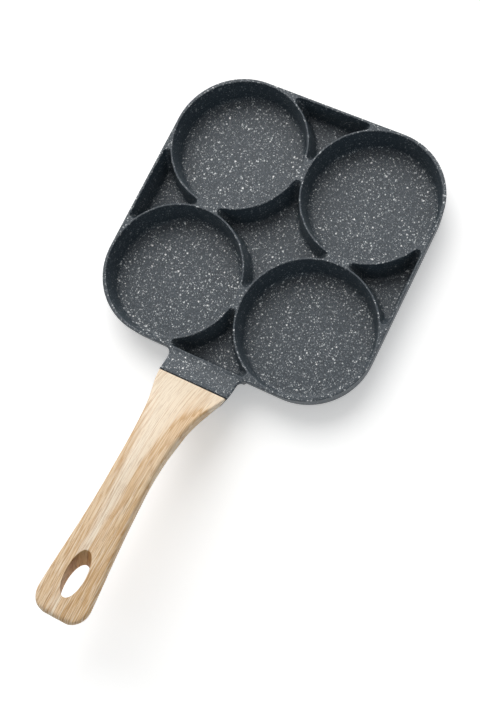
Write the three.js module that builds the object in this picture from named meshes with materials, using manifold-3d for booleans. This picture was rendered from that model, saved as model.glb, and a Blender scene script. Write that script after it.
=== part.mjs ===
// Divided frying pan: a square die-cast body with four round cups, and a wooden handle on its lug.
// Millimetres, +Z up, the pan standing on z = 0 about the origin, the handle running along -Y.

import * as THREE from "three";
import { mergeVertices } from "three/addons/utils/BufferGeometryUtils.js";
import Module from "manifold-3d";

// Driving dimensions of the casting
const CUP_RADIUS = 44.3; // inside a cup, at its rim
const CUP_WEB = 5.4; // between the rims of neighbouring cups
const CUP_DEPTH = 19; // rim to floor
const CUP_DRAFT = 9; // degrees, the cup's wall from vertical
const CUP_FILLET = 4; // between wall and floor
const BASE_THICKNESS = 3.5; // under the floors of cups and pockets
const RIM_WALL = 1.3; // rim between a cup and a pocket
const OUTER_WALL = 1.8; // rim between a cup and the outside
const POCKET_WALL = 1.7; // rim between a side pocket and the outside
const CORNER_TIGHTER = 1.6; // the body's corners, less than concentric with the cups
const OUTER_DRAFT = 6; // degrees
const RIM_EDGE = 0.5; // rounding of every upper edge
const BASE_EDGE = 6; // rounding of the lower edge
const POCKET_DRAFT = 8; // degrees
const POCKET_FILLET = 2.5; // between a pocket's wall and floor
const SIDE_TIP = 2.4; // end radius of the side pockets
const CENTRE_TIP = 2.6; // end radius of the central pocket

// Driving dimensions of the lug, its tongue and the joint
const LUG_LENGTH = 14.7; // from the rim to the joint
const LUG_WIDTH = 48.8; // at the joint
const LUG_SPREAD = 0.5; // the lug is wider by this on each side at the body
const LUG_THICKNESS = 15;
const LUG_ROOT_EXTRA = 1.5; // the lug is thicker by this at the body
const LUG_FILLET = 5; // in plan, between the lug and the body's wall
const LUG_TAPER = 6.2; // the underside is narrower by this on each side
const LUG_EDGE_TOP = 1.2; // edge radii at the joint
const LUG_EDGE_BOTTOM = 5;
const LUG_CROWN = 0.2; // bulge of the upper face
const LUG_ROOT = 4; // how far the lug reaches into the body's wall
const LUG_RISE = 36; // degrees, the slope of the lug's upper face where it ends
const HANDLE_RISE = 22; // degrees, the tongue's slope
const TONGUE_LENGTH = 38;
const TONGUE_ROOT_WIDTH = 26;
const TONGUE_TIP_WIDTH = 18;
const TONGUE_THICKNESS = 4.4;
const TONGUE_DEPTH = 5; // from the lug's upper face to the tongue's middle
const TONGUE_CORNER = 1.2; // rounding of the tongue's long edges
const TONGUE_LEAD = 1.2; // bevel at the tongue's tip
const TONGUE_ROOT = 3; // how far the tongue reaches into the lug
const GASKET_THICKNESS = 0.7;
const GASKET_INSET = 0.3; // the gasket stands back from the lug's faces
const JOINT_GAP = 0.25; // between the faces that meet at the joint
const MORTISE_CLEARANCE = 0.3; // round the tongue

// Driving dimensions of the wooden handle
const HANDLE_LENGTH = 161; // from the joint to the tail, along the tongue's axis
const HANDLE_STEP = 0.1; // the handle's sides stand in from the lug's at the joint
const HANDLE_TAPER = 3; // the grip's underside is narrower by this on each side
const GRIP_BLEND = 0.3; // share of the length over which the joint's section turns into the grip's
const HANDLE_EDGE_TOP = 2.4; // edge radii at the grip
const HANDLE_EDGE_BOTTOM = 6;
const HANDLE_CROWN = 2; // bulge of the upper face
const TAIL_CORNER = 12; // tail corner radius in plan
const TAIL_EDGE = 3.5; // tail edge radius in side view
const HOLE_LENGTH = 28.7; // oval hanging hole
const HOLE_WIDTH = 12.4;
const HOLE_FROM_TAIL = 26.4; // the hole's middle to the tail
const HOLE_EDGE = 1.8; // rounding of the hole's edges
const HOLE_LEAN = 33; // degrees, the hole runs towards the tail as it goes down

// Driving dimensions of the fastening
const SCREW_FROM_TIP = 16; // the screw's axis to the tongue's tip
const SCREW_DIAMETER = 5;
const SCREW_HEAD_DIAMETER = 9;
const SCREW_HEAD_HEIGHT = 2.6;
const SCREW_RECESS_DEPTH = 1.6; // cross recess
const SCREW_RECESS_WIDTH = 1.1;
const SCREW_RECESS_SPAN = 5;
const SCREW_POINT = 0.6; // bevel at the shank's end
const SCREW_SHORT = 0.4; // the shank ends this far inside the tongue
const HEAD_SINK = 0.4; // the head stands this far inside its well
const WASHER_DIAMETER = 10;
const WASHER_THICKNESS = 0.8;
const SCREW_CLEARANCE = 0.25; // round the shank
const WELL_CLEARANCE = 0.6; // round the washer
const SEAT_GAP = 0.25; // head to washer, washer to wood

// Sizes that follow
const BODY_HEIGHT = CUP_DEPTH + BASE_THICKNESS;
const HALF_PITCH = CUP_RADIUS + CUP_WEB / 2; // a cup's axis from the body's middle
const HALF_BODY = HALF_PITCH + CUP_RADIUS + OUTER_WALL;
const OUTER_CORNER = CUP_RADIUS + OUTER_WALL - CORNER_TIGHTER;
const POCKET_RADIUS = CUP_RADIUS + RIM_WALL; // a pocket's edge about a cup's axis
const POCKET_LINE = HALF_BODY - POCKET_WALL; // a side pocket's straight edge
const FLOOR_Z = BASE_THICKNESS;
const SCREW_FROM_JOINT = TONGUE_LENGTH - SCREW_FROM_TIP;

// Fineness of the mesh, and how far the cutters stand clear of what they cut
const CUP_SIDES = 60;
const CORNER_STEPS = 15;
const ROUND_SIDES = 28;
const HOLE_SIDES = 36;
const CUT_CLEAR = 3;

const radians = THREE.MathUtils.degToRad;
const { Vector2, Vector3 } = THREE;

const wasm = await Module();
wasm.setup();

// A closed geometry as a solid: vertices joined, flat triangles dropped, faces turned outwards.
function solid(geometry) {
  const bare = geometry.clone();
  bare.deleteAttribute("normal");
  bare.deleteAttribute("uv");
  const merged = mergeVertices(bare, 1e-4);
  const points = merged.attributes.position.array;
  const faces = [];
  for (let i = 0; i < merged.index.count; i += 3) {
    const [a, b, c] = merged.index.array.slice(i, i + 3);
    if (a !== b && b !== c && c !== a) faces.push([a, b, c]);
  }
  const corner = (i) => new Vector3().fromArray(points, 3 * i);
  const volume = faces.reduce((sum, [a, b, c]) => sum + corner(a).dot(corner(b).cross(corner(c))), 0);
  const triVerts = new Uint32Array(faces.flatMap((face) => (volume > 0 ? face : face.reverse())));
  const mesh = new wasm.Mesh({ numProp: 3, vertProperties: new Float32Array(points), triVerts });
  return new wasm.Manifold(mesh);
}

// A solid as a geometry with flat normals.
function geometryOf(body) {
  const mesh = body.getMesh();
  const geometry = new THREE.BufferGeometry();
  geometry.setAttribute("position", new THREE.BufferAttribute(mesh.vertProperties, 3));
  geometry.setIndex(new THREE.BufferAttribute(mesh.triVerts, 1));
  geometry.computeVertexNormals();
  return geometry;
}

// A skin over sections with equally many points, closed by a flat cap at either end.
function loft(sections, place) {
  const count = sections[0].length;
  const last = (sections.length - 1) * count;
  const positions = sections.flatMap((section, k) => section.flatMap((p) => place(p, k).toArray()));
  const index = [];
  for (let k = 0; k + 1 < sections.length; k++) {
    for (let i = 0; i < count; i++) {
      const a = k * count + i;
      const b = k * count + ((i + 1) % count);
      index.push(a, b, b + count, a, b + count, a + count);
    }
  }
  for (const [a, b, c] of THREE.ShapeUtils.triangulateShape(sections[0], [])) index.push(c, b, a);
  for (const [a, b, c] of THREE.ShapeUtils.triangulateShape(sections.at(-1), [])) {
    index.push(last + a, last + b, last + c);
  }
  const geometry = new THREE.BufferGeometry();
  geometry.setAttribute("position", new THREE.Float32BufferAttribute(positions, 3));
  geometry.setIndex(index);
  return geometry;
}

// Points along an arc, both ends included.
function arc(x, y, radius, from, to, steps) {
  return Array.from({ length: steps + 1 }, (_, k) => {
    const angle = from + ((to - from) * k) / steps;
    return new Vector2(x + radius * Math.cos(angle), y + radius * Math.sin(angle));
  });
}

// A polygon of corners [x, y, radius] with each corner rounded by a true arc.
function rounded(corners, steps) {
  return corners.flatMap(([x, y, radius], i) => {
    const [px, py] = corners.at(i - 1);
    const [nx, ny] = corners[(i + 1) % corners.length];
    const back = new Vector2(px - x, py - y).normalize();
    const on = new Vector2(nx - x, ny - y).normalize();
    const half = Math.acos(THREE.MathUtils.clamp(back.dot(on), -1, 1)) / 2;
    const middle = back.clone().add(on).normalize().multiplyScalar(radius / Math.sin(half));
    const start = back.clone().multiplyScalar(radius / Math.tan(half)).sub(middle);
    const turn = Math.sign(on.cross(back)) * (Math.PI - 2 * half);
    return arc(x + middle.x, y + middle.y, radius, start.angle(), start.angle() + turn, steps);
  });
}

// Levels [z, inset] of a rounded foot between a flat at height low and a wall that leans by draft degrees
// and has no inset at height high.
function footLevels(low, high, draft, radius, steps) {
  const turn = Math.PI / 2 - radians(draft);
  const middle = (high - low) * Math.tan(radians(draft)) + radius * Math.tan(turn / 2);
  const bend = arc(0, 0, radius, -Math.PI / 2, turn - Math.PI / 2, steps);
  return bend.map((p) => [low + radius + p.y, middle - p.x]);
}

// Levels of the rounded upper edge, turning away from the material with sign -1 and into it with 1.
function rimLevels(sign) {
  return [0, 45, 90].map(radians).map((angle) => [
    BODY_HEIGHT - RIM_EDGE * (1 - Math.sin(angle)),
    sign * RIM_EDGE * (1 - Math.cos(angle)),
  ]);
}

// Levels of a cut that widens upwards: floor fillet, drafted wall, rounded edge, and clear of the top.
function cutLevels(draft, fillet) {
  return [
    ...footLevels(FLOOR_Z, BODY_HEIGHT - RIM_EDGE, draft, fillet, 3),
    ...rimLevels(-1),
    [BODY_HEIGHT + CUT_CLEAR, -RIM_EDGE],
  ];
}

// One cup, turned about its own axis.
function cupCutter() {
  const levels = cutLevels(CUP_DRAFT, CUP_FILLET);
  const profile = levels.map(([z, inset]) => new Vector2(CUP_RADIUS - inset, z));
  profile.unshift(new Vector2(0, levels[0][0]));
  profile.push(new Vector2(0, levels.at(-1)[0]));
  return new THREE.LatheGeometry(profile, CUP_SIDES).rotateX(Math.PI / 2);
}

// The outline of the side pocket on +Y: two arcs about the cups, a straight edge and three round ends.
function sidePocket(inset, tip) {
  const reach = POCKET_RADIUS + inset + tip;
  const edge = POCKET_LINE - inset - tip;
  const inner = HALF_PITCH + Math.sqrt(reach ** 2 - HALF_PITCH ** 2);
  const along = HALF_PITCH - Math.sqrt(reach ** 2 - (edge - HALF_PITCH) ** 2);
  const low = Math.atan2(inner - HALF_PITCH, HALF_PITCH); // bearing of the inner end from a cup's axis
  const high = Math.atan2(edge - HALF_PITCH, HALF_PITCH - along); // bearing of an outer end
  return [
    ...arc(0, inner, tip, Math.PI + low, 2 * Math.PI - low, 5),
    ...arc(HALF_PITCH, HALF_PITCH, POCKET_RADIUS + inset, Math.PI - low, Math.PI - high, 13).slice(1, -1),
    ...arc(along, edge, tip, -high, Math.PI / 2, 5),
    ...arc(-along, edge, tip, Math.PI / 2, Math.PI + high, 5),
    ...arc(-HALF_PITCH, HALF_PITCH, POCKET_RADIUS + inset, high, low, 13).slice(1, -1),
  ];
}

// The outline of the central pocket: four arcs about the cups and four round ends.
function centrePocket(inset, tip) {
  const reach = POCKET_RADIUS + inset + tip;
  const end = HALF_PITCH - Math.sqrt(reach ** 2 - HALF_PITCH ** 2);
  const low = Math.atan2(HALF_PITCH - end, HALF_PITCH);
  return [0, 1, 2, 3].flatMap((quarter) => {
    const turn = (quarter * Math.PI) / 2;
    const round = arc(end, 0, tip, low - Math.PI / 2, Math.PI / 2 - low, 5);
    const side = arc(HALF_PITCH, HALF_PITCH, POCKET_RADIUS + inset, 1.5 * Math.PI - low, Math.PI + low, 11);
    return [...round, ...side.slice(1, -1)].map((p) => p.rotateAround(new Vector2(), turn));
  });
}

// A pocket's cutter: its outline drawn in with depth, its ends keeping their radius.
function pocketCutter(outline, tip) {
  const levels = cutLevels(POCKET_DRAFT, POCKET_FILLET);
  const sections = levels.map(([, inset]) => outline(inset, tip - Math.min(inset, 0)));
  return loft(sections, (p, k) => new Vector3(p.x, p.y, levels[k][0]));
}

// The body's outside: a rounded square with a rounded lower edge, drafted walls and a rounded rim.
function bodyBlock() {
  const levels = [...footLevels(0, BODY_HEIGHT - RIM_EDGE, OUTER_DRAFT, BASE_EDGE, 4), ...rimLevels(1)];
  const sections = levels.map(([, inset]) => {
    const half = HALF_BODY - inset;
    const radius = OUTER_CORNER - inset;
    const corners = [[half, -half], [half, half], [-half, half], [-half, -half]];
    return rounded(corners.map(([x, y]) => [x, y, radius]), CORNER_STEPS);
  });
  return loft(sections, (p, k) => new Vector3(p.x, p.y, levels[k][0]));
}

// The cross-section shared by the lug, the gasket and the handle: hung below its upper face at y = 0.
function barSection(width, thickness, taper, edgeTop, edgeBottom, crown) {
  const half = width / 2;
  const foot = half - taper;
  const corners = [
    [-foot, -thickness, edgeBottom],
    [foot, -thickness, edgeBottom],
    [half, 0, edgeTop],
    [0, crown, half],
    [-half, 0, edgeTop],
  ];
  return rounded(corners, 5);
}

// The joint's own frame: its origin on the lug's upper face, -Y running out along the tongue.
const LUG_CURVE = Math.tan(radians(LUG_RISE)) / (2 * LUG_LENGTH); // the upper face lifts as a parabola
const JOINT_Y = -HALF_BODY - LUG_LENGTH;
const JOINT_Z = BODY_HEIGHT + LUG_CURVE * LUG_LENGTH ** 2;
const jointMatrix = new THREE.Matrix4()
  .makeRotationX(-radians(HANDLE_RISE))
  .setPosition(0, JOINT_Y, JOINT_Z);

// The lug: sections swept from inside the body's wall to the joint, flaring into the wall.
function lugBlock() {
  const flared = [0, 0.15, 0.36, 0.65, 1].map((share) => LUG_FILLET * share);
  const stations = [-LUG_ROOT, ...flared, (LUG_FILLET + LUG_LENGTH) / 2, LUG_LENGTH];
  const sections = stations.map((out) => {
    const near = THREE.MathUtils.clamp(LUG_FILLET - out, 0, LUG_FILLET);
    const flare = LUG_FILLET - Math.sqrt(LUG_FILLET ** 2 - near ** 2);
    const root = 1 - Math.max(out, 0) / LUG_LENGTH;
    const thickness = LUG_THICKNESS + LUG_ROOT_EXTRA * root ** 2;
    const width = LUG_WIDTH + 2 * (LUG_SPREAD * root + flare);
    return barSection(width, thickness, LUG_TAPER, LUG_EDGE_TOP, LUG_EDGE_BOTTOM, LUG_CROWN);
  });
  return loft(sections, (p, k) => {
    const out = Math.max(stations[k], 0);
    const lean = (radians(HANDLE_RISE) * out) / LUG_LENGTH;
    const top = new Vector3(0, -HALF_BODY - stations[k], BODY_HEIGHT + LUG_CURVE * out ** 2);
    const hang = p.y - LUG_CROWN;
    return top.add(new Vector3(p.x, hang * Math.sin(lean), hang * Math.cos(lean)));
  });
}

// A tongue in the joint's frame, grown all round by a clearance.
function tongueBlock(clearance, start) {
  const end = -TONGUE_LENGTH - clearance;
  const stations = [start, end + TONGUE_LEAD, end];
  const sections = stations.map((y, k) => {
    const far = THREE.MathUtils.clamp(-y / TONGUE_LENGTH, 0, 1);
    const narrow = k === 2 ? TONGUE_LEAD / 2 : 0;
    const half = THREE.MathUtils.lerp(TONGUE_ROOT_WIDTH, TONGUE_TIP_WIDTH, far) / 2 + clearance - narrow;
    const thick = TONGUE_THICKNESS / 2 + clearance - narrow;
    const corners = [[-half, -thick], [half, -thick], [half, thick], [-half, thick]];
    return rounded(corners.map(([x, z]) => [x, z, TONGUE_CORNER]), 3);
  });
  return loft(sections, (p, k) => new Vector3(p.x, stations[k], p.y - TONGUE_DEPTH));
}

// A round peg in the joint's frame, standing along Z on the screw's axis.
function screwPeg(diameter, from, to) {
  return new THREE.CylinderGeometry(diameter / 2, diameter / 2, to - from, ROUND_SIDES)
    .rotateX(Math.PI / 2)
    .translate(0, -SCREW_FROM_JOINT, (from + to) / 2);
}

// The casting: block, lug and tongue in one, with cups, pockets and the screw's hole cut from it.
function panBody() {
  const way = screwPeg(SCREW_DIAMETER + 2 * SCREW_CLEARANCE, -TONGUE_DEPTH - TONGUE_THICKNESS, 0);
  const tongue = solid(tongueBlock(0, TONGUE_ROOT)).subtract(solid(way));
  let body = solid(bodyBlock()).add(solid(lugBlock())).add(tongue.transform(jointMatrix.toArray()));
  for (const x of [-HALF_PITCH, HALF_PITCH]) {
    for (const y of [-HALF_PITCH, HALF_PITCH]) {
      body = body.subtract(solid(cupCutter().translate(x, y, 0)));
    }
  }
  body = body.subtract(solid(pocketCutter(centrePocket, CENTRE_TIP)));
  for (const quarter of [0, 1, 2, 3]) {
    body = body.subtract(solid(pocketCutter(sidePocket, SIDE_TIP).rotateZ((quarter * Math.PI) / 2)));
  }
  return geometryOf(body);
}

// The gasket: the lug's end section, a little smaller, with the tongue's way cut through.
function jointGasket() {
  const width = LUG_WIDTH - 2 * GASKET_INSET;
  const thickness = LUG_THICKNESS - 2 * GASKET_INSET;
  const section = barSection(width, thickness, LUG_TAPER, LUG_EDGE_TOP, LUG_EDGE_BOTTOM, LUG_CROWN);
  const faces = [-JOINT_GAP, -JOINT_GAP - GASKET_THICKNESS];
  const top = -GASKET_INSET - LUG_CROWN;
  const sheet = loft([section, section], (p, k) => new Vector3(p.x, faces[k], p.y + top));
  return geometryOf(solid(sheet).subtract(solid(tongueBlock(MORTISE_CLEARANCE, CUT_CLEAR))));
}

// The handle's stations: share of its length, upper face over the tongue's axis line, width, thickness.
const HANDLE_START = JOINT_GAP * 2 + GASKET_THICKNESS;
const HANDLE_STATIONS = [
  [0, 0, LUG_WIDTH - 2 * HANDLE_STEP, LUG_THICKNESS],
  [0.065, 3.3, 43, LUG_THICKNESS + 1.4],
  [0.115, 5.2, 37.6, LUG_THICKNESS + 2.4],
  [0.17, 6.4, 32.9, LUG_THICKNESS + 2.9],
  [0.24, 6.8, 29.5, 17.9],
  [0.33, 5.8, 26.9, 17.7],
  [0.45, 2.2, 26, 17.2],
  [0.58, -4.2, 27.2, 16.4],
  [0.72, -10.9, 30.2, 15],
  [0.86, -17.9, 34.3, 13],
  [1, -25.4, 37.4, 12],
];

// A smooth value through one column of the stations.
function station(share, column) {
  const last = HANDLE_STATIONS.length - 1;
  const k = Math.min(Math.max(HANDLE_STATIONS.findIndex((row) => row[0] > share) - 1, 0), last - 1);
  const at = share >= 1 ? last - 1 : k;
  const rows = [at - 1, at, at + 1, at + 2].map((i) => HANDLE_STATIONS[THREE.MathUtils.clamp(i, 0, last)]);
  const [x0, x1, x2, x3] = rows.map((row) => row[0]);
  const [y0, y1, y2, y3] = rows.map((row) => row[column]);
  const t = (share - x1) / (x2 - x1);
  const m1 = x2 > x0 ? ((y2 - y0) / (x2 - x0)) * (x2 - x1) : 0;
  const m2 = x3 > x1 ? ((y3 - y1) / (x3 - x1)) * (x2 - x1) : 0;
  const a = 2 * y1 - 2 * y2 + m1 + m2;
  const b = 3 * y2 - 3 * y1 - 2 * m1 - m2;
  return ((a * t + b) * t + m1) * t + y1;
}

// The angle of the handle's upper face over the tongue's axis.
function slope(share) {
  const step = 0.04;
  const [low, high] = [share - step, share + step].map((s) => THREE.MathUtils.clamp(s, 0, 1));
  return Math.atan((station(high, 1) - station(low, 1)) / ((high - low) * HANDLE_LENGTH));
}

// How far a rounded end of the given radius has drawn in, a distance from the end.
const drawnIn = (radius, distance) =>
  radius - Math.sqrt(Math.max(radius ** 2 - Math.max(radius - distance, 0) ** 2, 0));

// The handle's blank: sections along its arched upper line, square to it past the joint.
function handleBlank() {
  const steps = 23;
  const run = HANDLE_LENGTH - TAIL_CORNER - HANDLE_START;
  const grip = Array.from({ length: steps + 1 }, (_, k) => HANDLE_START + (k / steps) ** 1.15 * run);
  const tail = [0.72, 0.45, 0.22, 0.08, 0.015].map((share) => HANDLE_LENGTH - TAIL_CORNER * share);
  const stations = [...grip, ...tail];
  const sections = stations.map((out) => {
    const share = out / HANDLE_LENGTH;
    const left = HANDLE_LENGTH - out;
    const ease = THREE.MathUtils.smoothstep(share, 0, GRIP_BLEND);
    const width = station(share, 2) - 2 * drawnIn(TAIL_CORNER, left);
    const slim = drawnIn(TAIL_EDGE, left);
    const thickness = station(share, 3) - 2 * slim;
    const edgeTop = THREE.MathUtils.lerp(LUG_EDGE_TOP, HANDLE_EDGE_TOP, ease);
    const edgeBottom = THREE.MathUtils.lerp(LUG_EDGE_BOTTOM, HANDLE_EDGE_BOTTOM, ease);
    const room = 0.94 * thickness; // the two edges share the thickness, less a flat
    const least = Math.min(1, room / (HANDLE_EDGE_TOP + HANDLE_EDGE_BOTTOM));
    const crown = THREE.MathUtils.lerp(LUG_CROWN, HANDLE_CROWN, ease);
    const taper = THREE.MathUtils.lerp(LUG_TAPER, HANDLE_TAPER, ease);
    return barSection(width, thickness, taper, edgeTop * least, edgeBottom * least, crown)
      .map((p) => new Vector2(p.x, p.y - crown - slim));
  });
  return loft(sections, (p, k) => {
    const share = stations[k] / HANDLE_LENGTH;
    const lean = slope(share) * THREE.MathUtils.smoothstep(share, 0, GRIP_BLEND);
    const top = new Vector3(0, -stations[k], station(share, 1));
    return top.add(new Vector3(p.x, p.y * Math.sin(lean), p.y * Math.cos(lean)));
  });
}

// The hanging hole: an oval on the handle's face there, slanting to the tail, its edges rounded over.
function hangHole() {
  const share = 1 - HOLE_FROM_TAIL / HANDLE_LENGTH;
  const shear = Math.tan(radians(HOLE_LEAN));
  const thickness = station(share, 3);
  const levels = [[CUT_CLEAR, HOLE_EDGE + CUT_CLEAR]];
  for (const angle of [90, 60, 30, 0].map(radians)) {
    levels.push([-HOLE_EDGE * (1 - Math.sin(angle)), HOLE_EDGE * (1 - Math.cos(angle))]);
  }
  const lower = levels.map(([z, grow]) => [-thickness - z, grow]).reverse();
  const rings = [...levels, ...lower];
  const sections = rings.map(([, grow]) =>
    Array.from({ length: HOLE_SIDES }, (_, i) => {
      const angle = (2 * Math.PI * i) / HOLE_SIDES;
      const across = HOLE_WIDTH / 2 + grow;
      const along = HOLE_LENGTH / 2 + grow;
      return new Vector2(across * Math.cos(angle), along * Math.sin(angle));
    }),
  );
  return loft(sections, (p, k) => new Vector3(p.x, p.y + shear * rings[k][0], rings[k][0]))
    .rotateX(-slope(share))
    .translate(0, -share * HANDLE_LENGTH, station(share, 1));
}

// The screw's levels in the joint's frame, from the handle's underside upwards.
const screwShare = SCREW_FROM_JOINT / HANDLE_LENGTH;
const UNDERSIDE_Z = station(screwShare, 1) - station(screwShare, 3);
const WELL_DEPTH = SCREW_HEAD_HEIGHT + WASHER_THICKNESS + 2 * SEAT_GAP + HEAD_SINK;
const WELL_Z = UNDERSIDE_Z + WELL_DEPTH;
const WASHER_Z = WELL_Z - SEAT_GAP - WASHER_THICKNESS;
const HEAD_Z = WASHER_Z - SEAT_GAP;
const SCREW_END_Z = -TONGUE_DEPTH + TONGUE_THICKNESS / 2 - SCREW_SHORT;

function woodenHandle() {
  const well = screwPeg(WASHER_DIAMETER + 2 * WELL_CLEARANCE, UNDERSIDE_Z - CUT_CLEAR, WELL_Z);
  const way = screwPeg(SCREW_DIAMETER + 4 * SCREW_CLEARANCE, UNDERSIDE_Z, -TONGUE_DEPTH);
  const mortise = tongueBlock(MORTISE_CLEARANCE, CUT_CLEAR);
  const cuts = [mortise, hangHole(), well, way];
  return geometryOf(cuts.reduce((wood, cut) => wood.subtract(solid(cut)), solid(handleBlank())));
}

// The screw: a domed head with a cross recess, its shank reaching through the tongue.
function handleScrew() {
  const head = SCREW_HEAD_DIAMETER / 2;
  const shank = SCREW_DIAMETER / 2;
  const low = HEAD_Z - SCREW_HEAD_HEIGHT;
  const profile = [
    new Vector2(0, low),
    new Vector2(head * 0.45, low + 0.12 * SCREW_HEAD_HEIGHT),
    new Vector2(head * 0.8, low + 0.38 * SCREW_HEAD_HEIGHT),
    new Vector2(head, low + 0.75 * SCREW_HEAD_HEIGHT),
    new Vector2(head, HEAD_Z),
    new Vector2(shank, HEAD_Z),
    new Vector2(shank, SCREW_END_Z - SCREW_POINT),
    new Vector2(shank - SCREW_POINT, SCREW_END_Z),
    new Vector2(0, SCREW_END_Z),
  ];
  const turned = new THREE.LatheGeometry(profile, ROUND_SIDES).rotateX(Math.PI / 2);
  let screw = solid(turned.translate(0, -SCREW_FROM_JOINT, 0));
  for (const turn of [0, Math.PI / 2]) {
    const slot = new THREE.BoxGeometry(SCREW_RECESS_WIDTH, SCREW_RECESS_SPAN, 2 * SCREW_RECESS_DEPTH);
    screw = screw.subtract(solid(slot.rotateZ(turn).translate(0, -SCREW_FROM_JOINT, low)));
  }
  return geometryOf(screw);
}

function screwWasher() {
  const inner = SCREW_DIAMETER / 2 + 2 * SCREW_CLEARANCE;
  const outer = WASHER_DIAMETER / 2;
  const top = WASHER_Z + WASHER_THICKNESS;
  const profile = [[inner, WASHER_Z], [outer, WASHER_Z], [outer, top], [inner, top], [inner, WASHER_Z]];
  const ring = new THREE.LatheGeometry(profile.map(([r, z]) => new Vector2(r, z)), ROUND_SIDES);
  return geometryOf(solid(ring.rotateX(Math.PI / 2).translate(0, -SCREW_FROM_JOINT, 0)));
}

// Materials
const coating = new THREE.MeshStandardMaterial({ color: 0x44484c, roughness: 0.55, metalness: 0.1 });
const oak = new THREE.MeshStandardMaterial({ color: 0xd9bd97, roughness: 0.6, metalness: 0 });
const silicone = new THREE.MeshStandardMaterial({ color: 0x1c1a18, roughness: 0.8, metalness: 0 });
const steel = new THREE.MeshStandardMaterial({ color: 0xa8abad, roughness: 0.35, metalness: 1 });

// Assembly
function piece(name, geometry, material) {
  const mesh = new THREE.Mesh(geometry, material);
  mesh.name = name;
  return mesh;
}

const joint = new THREE.Group();
joint.applyMatrix4(jointMatrix);
joint.add(
  piece("joint_gasket", jointGasket(), silicone),
  piece("handle", woodenHandle(), oak),
  piece("handle_screw", handleScrew(), steel),
  piece("screw_washer", screwWasher(), steel.clone()),
);

const pan = new THREE.Group();
pan.name = "divided_frying_pan";
pan.add(piece("pan_body", panBody(), coating), joint);
pan.updateMatrixWorld(true);

export default pan;
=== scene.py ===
# %% [markdown]
# # A four-cup frying pan, dressed on its CAD frame
# The real pan is one aluminium die casting under a speckled non-stick coating, with an oak handle pushed
# over a cast tongue and held by one screw from below. The CAD file gives every piece its place and its
# size. Here the pieces are made again as fine surfaces in the same frame, and get the finish that the eye
# expects. Only the thin gasket between casting and wood keeps its CAD shape.

# %% The frame
import math

import bmesh
import bpy
import numpy as np
from mathutils import Matrix, Vector


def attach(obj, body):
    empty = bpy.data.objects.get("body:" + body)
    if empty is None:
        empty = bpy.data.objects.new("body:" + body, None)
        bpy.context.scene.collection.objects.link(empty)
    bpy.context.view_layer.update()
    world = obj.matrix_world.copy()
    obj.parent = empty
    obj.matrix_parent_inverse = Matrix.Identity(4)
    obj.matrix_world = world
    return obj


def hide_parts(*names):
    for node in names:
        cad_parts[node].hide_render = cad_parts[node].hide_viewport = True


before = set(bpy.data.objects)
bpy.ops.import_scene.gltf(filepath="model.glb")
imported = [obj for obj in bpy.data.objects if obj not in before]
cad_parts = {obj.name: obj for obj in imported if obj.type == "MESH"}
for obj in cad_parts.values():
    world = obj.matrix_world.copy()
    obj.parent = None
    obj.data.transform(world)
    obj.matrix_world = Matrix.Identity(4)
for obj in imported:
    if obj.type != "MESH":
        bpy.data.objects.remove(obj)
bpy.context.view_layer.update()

# %% [markdown]
# ## Sizes
# A casting is drawn with a handful of sizes: the cups, the walls between them, the draft that lets the
# part leave its die, and the roundings that the coating needs. They are the sizes of the CAD part, in
# millimetres and degrees, and the meshes are turned into metres at the last moment.

# %% Sizes of the casting
MM = 0.001
CUP_RADIUS = 44.3
CUP_WEB = 5.4
CUP_DEPTH = 19.0
CUP_DRAFT = 9.0
CUP_FILLET = 4.0
BASE_THICKNESS = 3.5
RIM_WALL = 1.3
OUTER_WALL = 1.8
POCKET_WALL = 1.7
CORNER_TIGHTER = 1.6
OUTER_DRAFT = 6.0
RIM_EDGE = 0.5
BASE_EDGE = 6.0
POCKET_DRAFT = 8.0
POCKET_FILLET = 2.5
SIDE_TIP = 2.4
CENTRE_TIP = 2.6
BODY_HEIGHT = CUP_DEPTH + BASE_THICKNESS
HALF_PITCH = CUP_RADIUS + CUP_WEB / 2
HALF_BODY = HALF_PITCH + CUP_RADIUS + OUTER_WALL
OUTER_CORNER = CUP_RADIUS + OUTER_WALL - CORNER_TIGHTER
POCKET_RADIUS = CUP_RADIUS + RIM_WALL
POCKET_LINE = HALF_BODY - POCKET_WALL
FLOOR_Z = BASE_THICKNESS
print("body", round(2 * HALF_BODY, 1), "mm square and", BODY_HEIGHT, "mm high")

# %% [markdown]
# ## Rings into a mesh
# Every surface here is a stack of closed rings: the turned wall of a cup, the drafted wall of a pocket,
# the sections of the handle. One function joins neighbouring rings with quads, and another merges such
# patches into one object. Where patches share an edge they share its points, so merging doubles sews them
# together. Bars and cuts are closed solids of their own, and a boolean joins them or takes them away.

# %% Rings and arcs
def ring_skin(rings):
    """Quads over rings of points (rings, points, 3): point i of a ring joins point i of the next."""
    rows, columns = rings.shape[:2]
    index = np.arange(rows * columns).reshape(rows, columns)
    ahead = np.roll(index, -1, axis=1)
    quads = np.stack([index[:-1], ahead[:-1], ahead[1:], index[1:]], axis=-1)
    return rings.reshape(-1, 3), quads.reshape(-1, 4)


def arc(x, y, radius, start, end, count):
    """Points x + radius cos(a), y + radius sin(a), with a from start to end; sizes may be columns."""
    angle = start + (end - start) * np.linspace(0.0, 1.0, count)
    return np.stack([x + radius * np.cos(angle), y + radius * np.sin(angle)], axis=-1)


def at_height(outline, height):
    """A flat outline (..., points, 2) lifted to a height for each ring."""
    level = np.broadcast_to(np.asarray(height)[..., None], outline.shape[:-1])
    return np.concatenate([outline, level[..., None]], axis=-1)


print("a quarter circle in 3 points:", arc(0.0, 0.0, 1.0, 0.0, math.pi / 2, 3).round(3).tolist())

# %% Patches into one piece
# Points this close are one point, and edges this short are none, in metres
SAME_POINT = 1e-6
NO_LENGTH = 1e-7


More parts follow.
